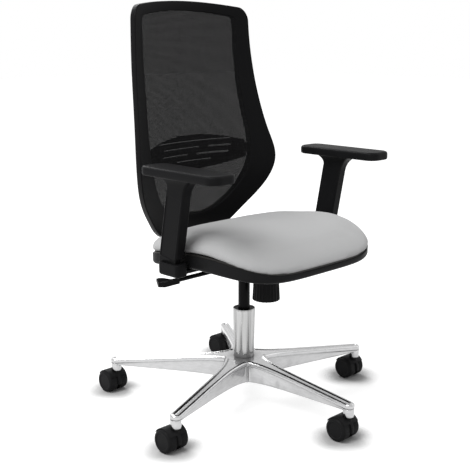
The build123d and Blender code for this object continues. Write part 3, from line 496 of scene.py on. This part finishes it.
def seatCloth():
    finish = Finish("seatCloth")
    x, y, z = finish.axes()
    turn = 2 * math.pi / clothSet["thread"]
    weft = (x * turn).sine()
    warp = (y * turn + z * turn).sine()
    weave = (weft * warp) * 0.5 + 0.5
    fibre = finish.noise(2600.0, detail=2.0)
    slub = finish.noise(60.0, detail=5.0, stretch=(1.0, 6.0, 6.0))
    broad = finish.noise(7.0, detail=3.0)
    colour = clothSet["colour"]
    base = finish.mix(slub * 0.5 + broad * 0.5, toned(colour, 0.93), toned(colour, 1.05))
    # painted shade: the cloth darkens towards corner times its colour near the back, the arms and under
    # overhangs
    shadedAt, unshadedAt = clothSet["shadeStops"]
    clear = finish.ramp(finish.shadeMask(clothSet["shadeReach"]), (shadedAt, 0.0), (unshadedAt, 1.0))
    base = finish.mix(clear, toned(colour, clothSet["corner"]), base)
    tint = finish.mix(weave * 0.45 + fibre * 0.55, toned(colour, 0.8), base)
    height = weave * 0.7 + fibre * 0.5
    normal = finish.bump(height, clothSet["relief"], 0.35)
    return finish.surface(Base_Color=tint, Roughness=finish.spread(fibre, *clothSet["rough"]), Normal=normal,
                          Sheen_Weight=clothSet["sheen"], Sheen_Roughness=0.5)


netSet = {
    "pitch": 0.0026,
    "colour": (0.006, 0.006, 0.0063),
    "thread": 0.34,
    "uneven": 0.3,
    "slip": 0.9,
    "cover": 0.77,
    "relief": 0.0004,
    "rough": (0.6, 0.85),
    "shine": 0.04,
}


def backNet():
    finish = Finish("backNet")
    x, z = finish.axes()[::2]
    turn = math.pi / netSet["pitch"]
    slip = finish.noise(9.0, detail=3.0) * netSet["slip"]
    across = (z * turn + slip).sine().size()
    upright = (x * (turn * 1.1) + slip).sine().size()
    thick = finish.noise(26.0, detail=4.0, stretch=(18.0, 18.0, 0.8))
    thickLevel = finish.noise(26.0, detail=4.0, stretch=(0.8, 0.8, 14.0))
    bare = 1.0 - netSet["thread"]
    uneven = netSet["uneven"]
    threads = (upright > bare - thick * uneven).most(across > bare - thickLevel * uneven)
    fuzz = finish.noise(900.0, detail=2.0)
    colour = netSet["colour"]
    paler = finish.ramp(thick * 0.5 + thickLevel * 0.5, (0.3, 0.0), (0.7, 1.0))
    tint = finish.mix(paler, toned(colour, 0.6), toned(colour, 1.9))
    alpha = threads * (1.0 - netSet["cover"]) + netSet["cover"]
    height = across.most(upright) + fuzz * 0.2
    normal = finish.bump(height, netSet["relief"], 0.6)
    return finish.surface(Base_Color=tint, Roughness=finish.spread(fuzz, *netSet["rough"]),
                          Alpha=alpha.least(1.0), Normal=normal, Specular_IOR_Level=netSet["shine"])


woodSet = {
    "grainScale": 24.0,
    "grainStretch": (1.0, 9.0, 30.0),
    "grainDepth": 0.0002,
    "dark": (0.004, 0.0035, 0.003),
    "light": (0.012, 0.010, 0.008),
    "rough": (0.5, 0.7),
}


def plyWood():
    finish = Finish("plyWood")
    grain = finish.noise(woodSet["grainScale"], detail=8.0, stretch=woodSet["grainStretch"])
    tint = finish.ramp(grain, (0.3, woodSet["dark"]), (0.7, woodSet["light"]))
    return finish.surface(Base_Color=tint, Roughness=finish.spread(grain, *woodSet["rough"]),
                          Normal=finish.bump(grain, woodSet["grainDepth"], 0.4))


# painted shade darkens the hollows of the base and tube, and on the tube the dim vertical streaks are
# painted reflections
aluminium = brightMetal("castAluminium", (0.53, 0.53, 0.535), 0.16, (1.0, 1.0, 3.0), 0.0035, corner=0.3)
tubeMetal = brightMetal("tubeMetal", (0.46, 0.46, 0.46), 0.14, (1.5, 1.5, 0.09), 0.0008,
                        reflectionStreakDim=0.5, corner=0.5)
pinSteel = brightMetal("pinSteel", (0.6, 0.6, 0.62), 0.3, (1.0, 14.0, 14.0), 0.0004)
castorNylon = mouldedPlastic("castorNylon", (0.010, 0.010, 0.0105), 0.42)
blackPlastic = mouldedPlastic("blackPlastic", (0.0055, 0.0055, 0.006), 0.44)
framePlastic = mouldedPlastic("framePlastic", (0.0038, 0.0038, 0.0042), 0.44, grain=1400.0)
columnBlack = coatedSteel("columnBlack", (0.005, 0.005, 0.0055), 0.34)
mechanismCoat = coatedSteel("mechanismCoat", (0.007, 0.007, 0.0075), 0.45)
padSkin = softSkin("padSkin", (0.0055, 0.0055, 0.006))
clothGrey = seatCloth()
netBlack = backNet()
panPly = plyWood()

castorSteel = [name for name in nodes if name.endswith("axle")] + ["castor_stems"]
castorParts = [name for name in nodes if name.startswith("castor_") and name not in castorSteel]
shade(
    (aluminium, ["base_star"]),
    (tubeMetal, ["column_tube"]),
    (columnBlack, ["gas_cylinder", "piston_rod"]),
    (castorNylon, ["tension_knob", "seat_shell"]),
    (blackPlastic, ["column_bush", "gas_valve_button", "tilt_lever", "height_lever",
                    "arm_foot_right", "arm_foot_left", "arm_sleeve_right", "arm_sleeve_left",
                    "arm_button_right", "arm_button_left", "lumbar_support"]),
    (framePlastic, ["back_frame"]),
    (castorNylon, castorParts),
    (pinSteel, castorSteel + ["thrust_bearing", "column_clip", "front_pivot_pin", "rear_pivot_pin",
                              "tension_screw", "tension_plate", "tension_spring", "lever_pin"]),
    (mechanismCoat, ["mechanism_housing", "seat_carrier", "back_bracket", "arm_bracket_right",
                     "arm_bracket_left", "seat_screws", "arm_screws", "back_screws"]),
    (clothGrey, ["seat_cushion"]),
    (panPly, ["seat_pan"]),
    (padSkin, ["arm_pad_right", "arm_pad_left"]),
    (netBlack, ["back_mesh"]),
)
print("finishes ready")


# Rounded edges on the parts carried over from the CAD model

edgeSet = {
    "segments": 2,
    "bluntest": math.radians(38),
}
edgeWidths = {
    "arm_sleeve": 0.0012,
    "arm_foot": 0.0008,
    "arm_bracket": 0.0008,
    "arm_button": 0.0008,
    "tilt_lever": 0.0010,
    "height_lever": 0.0008,
    "tension_knob": 0.0006,
    "seat_shell": 0.0012,
    "lumbar_support": 0.0006,
    "mechanism_housing": 0.0010,
    "seat_carrier": 0.0006,
    "back_bracket": 0.0010,
    "castor": 0.0006,
    "base_star": 0.0008,
    "column_tube": 0.0004,
    "column_bush": 0.0006,
}


def roundEdges(part, width):
    weld = part.modifiers.new("weld", "WELD")
    weld.merge_threshold = weldReach
    edge = part.modifiers.new("edge", "BEVEL")
    edge.width = width
    edge.segments = edgeSet["segments"]
    edge.limit_method = "ANGLE"
    edge.angle_limit = edgeSet["bluntest"]
    edge.harden_normals = True
    edge.use_clamp_overlap = True


for nodeName, node in nodes.items():
    for start, width in edgeWidths.items():
        if nodeName.startswith(start) and nodeName not in castorSteel:
            roundEdges(node, width)
print("edges rounded")


# The back

backSet = {
    "planRadius": 0.420,
    "profile": (
        (0.375, 0.195), (0.440, 0.184), (0.500, 0.174), (0.580, 0.168), (0.640, 0.177),
        (0.700, 0.187), (0.780, 0.198), (0.860, 0.2045), (0.980, 0.206),
    ),
    "middle": 0.69,
    "sideLean": 0.04,
    "cornerLean": 0.14,
    "outer": {
        "side": (
            (0.092, 0.393), (0.149, 0.440), (0.198, 0.500), (0.223, 0.575), (0.213, 0.640),
            (0.202, 0.700), (0.190, 0.800), (0.182, 0.915),
        ),
        "corner": (0.158, 0.948),
        "top": 0.960,
        "rise": 0.35,
    },
    "inner": {
        "side": (
            (0.024, 0.441), (0.062, 0.4475), (0.110, 0.479), (0.151, 0.540), (0.164, 0.590),
            (0.1585, 0.700), (0.152, 0.840), (0.150, 0.912),
        ),
        "corner": (0.138, 0.925),
        "top": 0.937,
        "rise": 0.02,
    },
    "thickness": 0.020,
    "crown": 0.0010,
    "rounding": 0.0032,
    "samples": {"foot": 40, "side": 420, "corner": 60, "top": 80},
    "sectionSteps": {"front": 12, "corner": 6, "rear": 7},
    "loopSteps": 420,
    "netSteps": 220,
    "netRings": 46,
    "netReach": 0.0035,
    "netSetback": 0.0028,
    "boss": {
        "half": 0.055,
        "bottom": 0.396,
        "top": 0.436,
        "front": 0.190,
        "rear": 0.214,
        "rounding": 0.004,
        "segments": 4,
    },
}
profileDepth = cubic(backSet["profile"])


def backDepth(x, z):
    radius = backSet["planRadius"]
    return profileDepth(z) - (radius - np.sqrt(radius**2 - x**2))


def outlineLoop(shape):
    # the outline seen from the front, from the middle of the bottom round to it again
    side = shape["side"]
    corner = shape["corner"]
    top = shape["top"]
    sideWay = (-backSet["sideLean"], 1.0)
    cornerWay = (-1.0, backSet["cornerLean"])
    samples = backSet["samples"]
    foot = np.linspace((0.0, side[0][1]), side[0], samples["foot"])[:-1]
    rising = smoothLine(side, ((1.0, shape["rise"]), sideWay), samples["side"])[:-1]
    turning = smoothLine((side[-1], corner), (sideWay, cornerWay), samples["corner"])[:-1]
    across = np.linspace(corner[0], 0.0, samples["top"])
    over = np.column_stack((across, top - (top - corner[1]) * (across / corner[0]) ** 2))
    half = np.concatenate((foot, rising, turning, over))
    return np.concatenate((half[:-1], half[::-1][:-1] * (-1, 1)))


def byAngle(loop):
    # distance from the middle as a function of the angle about it
    away = loop - (0, backSet["middle"])
    angle = np.arctan2(away[:, 0], -away[:, 1])
    reach = np.linalg.norm(away, axis=1)
    order = np.argsort(angle)
    angle = angle[order]
    reach = reach[order]
    full = 2 * math.pi
    return np.concatenate((angle - full, angle, angle + full)), np.concatenate((reach, reach, reach))


def loopAngles(loop, steps):
    closed = np.concatenate((loop, loop[:1]))
    along = np.concatenate(([0], np.cumsum(np.linalg.norm(np.diff(closed, axis=0), axis=1))))
    at = np.linspace(0, along[-1], steps, endpoint=False)
    spots = np.stack([np.interp(at, along, closed[:, axis]) for axis in range(2)], axis=1)
    away = spots - (0, backSet["middle"])
    return np.arctan2(away[:, 0], -away[:, 1])


def frameSection(width):
    # the frame cut across, from its inner edge: (distance outwards, depth), with rounded corners
    deep = backSet["thickness"]
    edge = backSet["rounding"]
    crown = backSet["crown"]
    steps = backSet["sectionSteps"]
    turns = steps["corner"]
    spots = []
    for share in np.linspace(0, 1, steps["front"]):
        spots.append((edge + (width - 2 * edge) * share, crown * (2 * share - 1) ** 2))
    quarter = np.radians(np.linspace(15, 90, turns))
    for turn in quarter:
        spots.append((width - edge + edge * math.sin(turn), crown + edge * (1 - math.cos(turn))))
    for turn in np.radians(np.linspace(0, 90, turns)):
        spots.append((width - edge + edge * math.cos(turn), deep - edge + edge * math.sin(turn)))
    for share in np.linspace(0.85, 0, steps["rear"]):
        spots.append((edge + (width - 2 * edge) * share, deep))
    for turn in quarter:
        spots.append((edge - edge * math.sin(turn), deep - edge + edge * math.cos(turn)))
    for turn in np.radians(np.linspace(0, 75, turns)):
        spots.append((edge - edge * math.cos(turn), crown + edge - edge * math.sin(turn)))
    return spots


def makeBackFrame():
    outer = outlineLoop(backSet["outer"])
    outerAt = byAngle(outer)
    innerAt = byAngle(outlineLoop(backSet["inner"]))
    points = []
    for angle in loopAngles(outer, backSet["loopSteps"]):
        way = np.array((math.sin(angle), -math.cos(angle)))
        near = np.interp(angle, *innerAt)
        width = np.interp(angle, *outerAt) - near
        section = frameSection(width)
        for out, deep in section:
            x, z = (0, backSet["middle"]) + way * (near + out)
            points.append((x, backDepth(x, z) + deep, z))
    ring = len(section)
    total = len(points)
    faces = []
    for start in range(0, total, ring):
        for step in range(ring):
            after = (step + 1) % ring
            faces.append((
                start + step,
                start + after,
                (start + ring + after) % total,
                (start + ring + step) % total,
            ))
    return newPiece("backFrame", points, faces, framePlastic)


def makeBackBoss():
    # the block behind the frame that the bracket is screwed to
    boss = backSet["boss"]
    points = [
        (x, y, z)
        for x in (-boss["half"], boss["half"])
        for y in (boss["front"], boss["rear"])
        for z in (boss["bottom"], boss["top"])
    ]
    faces = [(0, 1, 3, 2), (4, 6, 7, 5), (0, 4, 5, 1), (2, 3, 7, 6), (0, 2, 6, 4), (1, 5, 7, 3)]
    piece = newPiece("backBoss", points, faces, framePlastic)
    edge = piece.modifiers.new("edge", "BEVEL")
    edge.width = boss["rounding"]
    edge.segments = boss["segments"]
    applyAll(piece)
    smoothFaces(piece.data)
    return piece


def makeNet():
    # a curved sheet that reaches a little under the frame's inner edge
    loop = outlineLoop(backSet["inner"])
    reachAt = byAngle(loop)
    angles = loopAngles(loop, backSet["netSteps"])
    rings = backSet["netRings"]
    points = [(0.0, float(backDepth(0.0, backSet["middle"])) + backSet["netSetback"], backSet["middle"])]
    for ring in range(1, rings + 1):
        for angle in angles:
            reach = (np.interp(angle, *reachAt) + backSet["netReach"]) * ring / rings
            x = math.sin(angle) * reach
            z = backSet["middle"] - math.cos(angle) * reach
            points.append((x, float(backDepth(x, z)) + backSet["netSetback"], z))
    count = len(angles)
    faces = [(0, 1 + step, 1 + (step + 1) % count) for step in range(count)]
    for ring in range(rings - 1):
        for step in range(count):
            after = (step + 1) % count
            low = 1 + ring * count
            faces.append((low + step, low + count + step, low + count + after, low + after))
    return newPiece("backNet", points, faces, netBlack)


backFrame = makeBackFrame()
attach(backFrame, "back")
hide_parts("back_frame")
backBoss = makeBackBoss()
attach(backBoss, "back")
net = makeNet()
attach(net, "back")
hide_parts("back_mesh")
print("back ready")


# The seat cushion

cushionSet = {
    "halfWidth": 0.2315,
    "widest": -0.010,
    "rear": 0.1195,
    "front": -0.2555,
    "power": 4.3,
    "seam": ((-0.269, 0.380), (-0.130, 0.420), (-0.005, 0.413), (0.133, 0.391)),
    "crown": ((-0.269, 0.408), (-0.130, 0.449), (-0.005, 0.444), (0.133, 0.429)),
    "rise": 0.004,
    "underEdge": (0.012, 0.34),
    "topEdge": (0.034, 0.66),
    "planSteps": 240,
    "rings": {"under": 18, "lower": 7, "upper": 9, "top": 18},
    "voxel": 0.005,
    "relaxing": 8,
    "pressure": 4.0,
    "quality": 4,
    "frames": 20,
    "most": 0.006,
    "evening": 30,
    "heldTo": 0.002,
    "freeOver": 0.008,
}


def cushionPlan(steps):
    points = []
    power = cushionSet["power"]
    behind = cushionSet["rear"] - cushionSet["widest"]
    ahead = cushionSet["widest"] - cushionSet["front"]
    for step in range(steps):
        turn = 2 * math.pi * step / steps
        across = math.cos(turn)
        along = math.sin(turn)
        reach = (abs(across) ** power + abs(along) ** power) ** (-1 / power)
        depth = behind if along > 0 else ahead
        points.append((cushionSet["halfWidth"] * across * reach, depth * along * reach))
    return np.array(points)


def cushionShell():
    # rings from the middle of the underside, around the rolled edge, to the middle of the top
    plan = cushionPlan(cushionSet["planSteps"])
    reach = np.linalg.norm(plan, axis=1)
    seam = cubic(sorted(cushionSet["seam"]))
    crown = cubic(sorted(cushionSet["crown"]))
    underInset, underShare = cushionSet["underEdge"]
    topInset, topShare = cushionSet["topEdge"]
    rings = []

    def addRing(factors, share, rise):
        spots = plan * factors[:, None] + (0, cushionSet["widest"])
        low = seam(spots[:, 1])
        high = crown(spots[:, 1])
        height = low + (high - low) * share + rise * (1 - factors**2)
        rings.append(np.column_stack((spots, height)))

    edgeUnder = 1 - underInset / reach
    edgeTop = 1 - topInset / reach
    counts = cushionSet["rings"]
    for share in np.linspace(0.04, 1.0, counts["under"]):
        addRing(edgeUnder * share, 0.0, 0.0)
    for turn in np.radians(np.linspace(-80, 0, counts["lower"])):
        addRing(1 - underInset * (1 - math.cos(turn)) / reach, underShare * (1 + math.sin(turn)), 0.0)
    for turn in np.radians(np.linspace(12, 90, counts["upper"])):
        share = underShare + topShare * math.sin(turn)
        addRing(1 - topInset * (1 - math.cos(turn)) / reach, share, cushionSet["rise"] * math.sin(turn) ** 2)
    for share in np.linspace(0.95, 0.04, counts["top"]):
        addRing(edgeTop * share, 1.0, cushionSet["rise"])
    points = np.concatenate(rings)
    count = len(plan)
    faces = [tuple(reversed(range(count)))]
    for ring in range(len(rings) - 1):
        for step in range(count):
            after = (step + 1) % count
            low = ring * count
            faces.append((low + step, low + after, low + count + after, low + count + step))
    faces.append(tuple(range(len(points) - count, len(points))))
    return newPiece("seatCushion", points, faces, clothGrey)


def evenOut(piece, values, times):
    # averages a value per point with its neighbours, several times
    edges = np.empty(len(piece.data.edges) * 2, dtype=int)
    piece.data.edges.foreach_get("vertices", edges)
    first, second = edges.reshape(-1, 2).T
    degree = np.zeros(len(values))
    np.add.at(degree, first, 1)
    np.add.at(degree, second, 1)
    for _ in range(times):
        total = np.zeros_like(values)
        np.add.at(total, first, values[second])
        np.add.at(total, second, values[first])
        values = 0.4 * values + 0.6 * total / np.maximum(degree, 1)[:, None]
    return values


def inflate(piece, held, most, evening):
    # blows the piece up as cloth, held where it rests, then limits and evens how far each point has moved
    before = corners(piece)
    group = piece.vertex_groups.new(name="held")
    for index, weight in enumerate(held):
        if weight > 0:
            group.add([index], float(weight), "REPLACE")
    cloth = piece.modifiers.new("cloth", "CLOTH")
    cloth.settings.use_pressure = True
    cloth.settings.uniform_pressure_force = cushionSet["pressure"]
    cloth.settings.effector_weights.gravity = 0.0
    cloth.settings.quality = cushionSet["quality"]
    cloth.settings.vertex_group_mass = "held"
    cloth.point_cache.frame_start = 1
    cloth.point_cache.frame_end = cushionSet["frames"]
    for step in range(1, cushionSet["frames"] + 1):
        scene.frame_set(step)
    applyAll(piece)
    scene.frame_set(1)
    move = corners(piece) - before
    reach = np.linalg.norm(move, axis=1, keepdims=True)
    move = move * np.minimum(1.0, most / np.maximum(reach, 1e-9))
    move = evenOut(piece, move, evening) * (1 - held[:, None])
    setCorners(piece, before + move)


def refine(piece, voxel, relaxing):
    mesher = piece.modifiers.new("remesh", "REMESH")
    mesher.mode = "VOXEL"
    mesher.voxel_size = voxel
    relax = piece.modifiers.new("relax", "SMOOTH")
    relax.iterations = relaxing
    return applyAll(piece)


def subdivide(piece, material):
    finer = piece.modifiers.new("finer", "SUBSURF")
    finer.levels = 1
    finer.render_levels = 1
    applyAll(piece)
    piece.data.materials.clear()
    piece.data.materials.append(material)
    smoothFaces(piece.data)


def makeCushion():
    piece = cushionShell()
    refine(piece, cushionSet["voxel"], cushionSet["relaxing"])
    spots = corners(piece)
    seam = cubic(sorted(cushionSet["seam"]))
    above = spots[:, 2] - seam(spots[:, 1]) - cushionSet["heldTo"]
    held = np.clip(1 - above / cushionSet["freeOver"], 0.0, 1.0)
    inflate(piece, held, cushionSet["most"], cushionSet["evening"])
    subdivide(piece, clothGrey)
    return piece


cushion = makeCushion()
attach(cushion, "seat")
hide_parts("seat_cushion")
print("cushion ready")


# The arm pads

padSet = {
    "voxel": 0.003,
    "relaxing": 2,
}


def makePad(side):
    piece = copyPart("arm_pad_" + side, "armPad" + side.capitalize())
    refine(piece, padSet["voxel"], padSet["relaxing"])
    subdivide(piece, padSkin)
    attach(piece, "arm_" + side)
    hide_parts("arm_pad_" + side)


for sideName in ("right", "left"):
    makePad(sideName)
print("arm pads ready")
